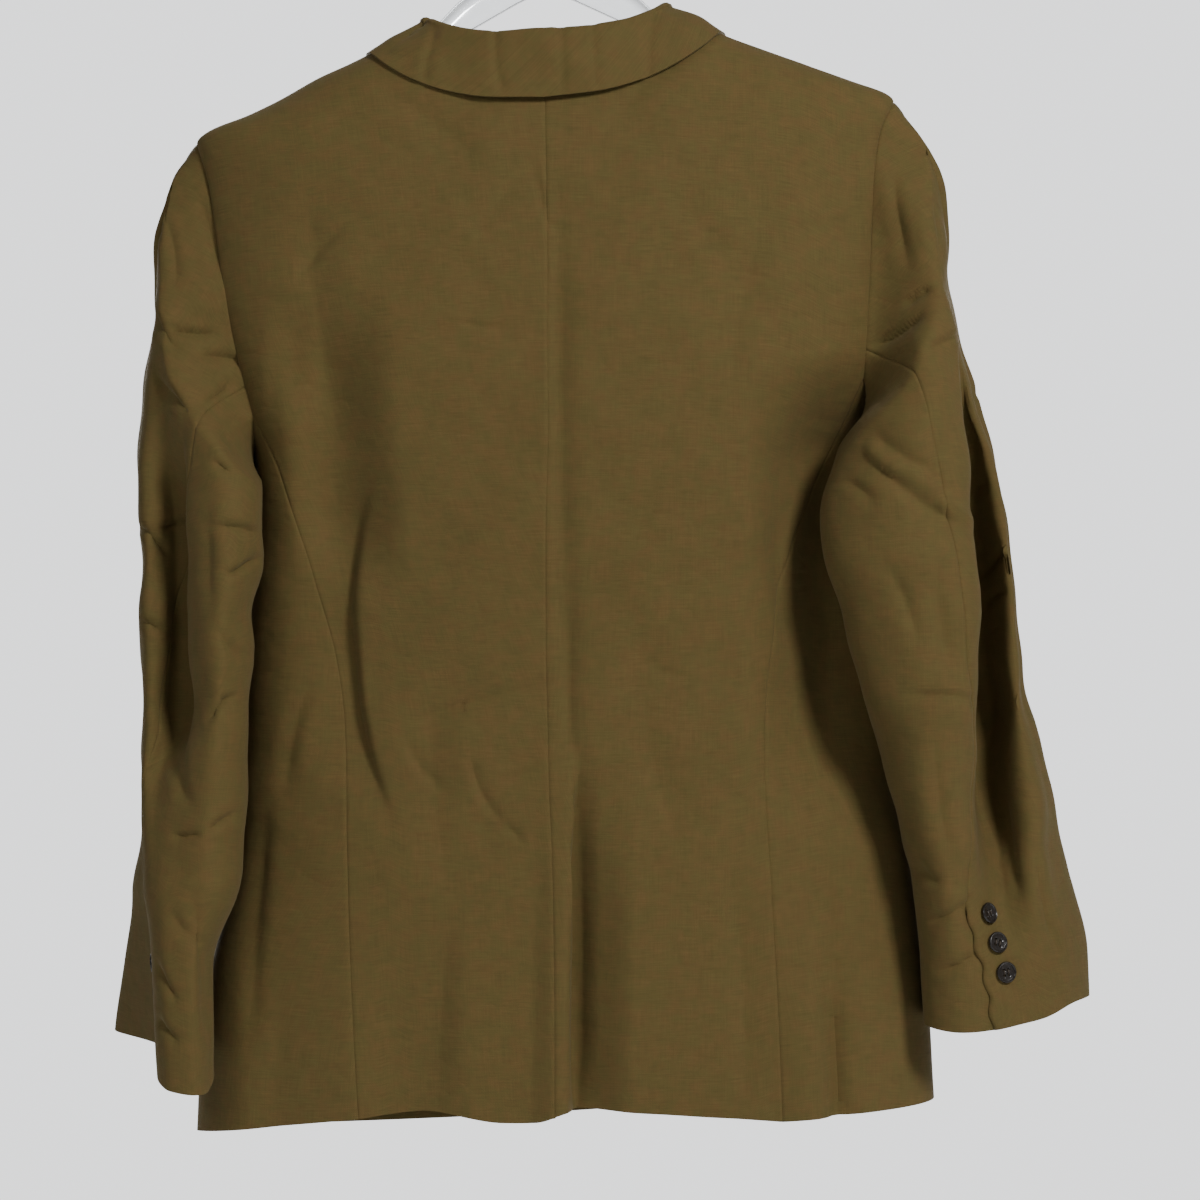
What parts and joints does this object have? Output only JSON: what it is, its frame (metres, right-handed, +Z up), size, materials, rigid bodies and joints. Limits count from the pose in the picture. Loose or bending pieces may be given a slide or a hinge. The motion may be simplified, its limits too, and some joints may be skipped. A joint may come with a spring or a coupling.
{
  "type": "blazer on a hanger",
  "caption": "Tailored single-breasted blazer with notched lapels, two-piece sleeves and buttoned cuffs, hung on a clear plastic hanger.",
  "frame": {"origin": "inside top of the hanger's hook, where it rests on a rod", "axes": "+Z up, the back of the blazer faces -Y, its fronts face +Y, and the wearer's right side is +X"},
  "size_m": [0.6415, 0.1698, 0.8689],
  "materials": {
    "cloth": "matte brown plain weave",
    "button": "gloss dark brown",
    "plastic": "clear",
    "steel": "polished wire"
  },
  "bodies": {
    "root": {"back_left": "cloth", "back_right": "cloth", "collar": "cloth", "cuff_button_left_1": "button", "cuff_button_left_2": "button", "cuff_button_left_3": "button", "cuff_button_right_1": "button", "cuff_button_right_2": "button", "cuff_button_right_3": "button", "front_button_1": "button", "front_button_2": "button", "front_left": "cloth", "front_right": "cloth", "hanger_body": "plastic", "hanger_hook": "steel", "lapel_left": "cloth", "lapel_right": "cloth", "side_left": "cloth", "side_right": "cloth", "sleeve_top_left": "cloth", "sleeve_top_right": "cloth", "sleeve_under_left": "cloth", "sleeve_under_right": "cloth"}
  },
  "joints": []
}
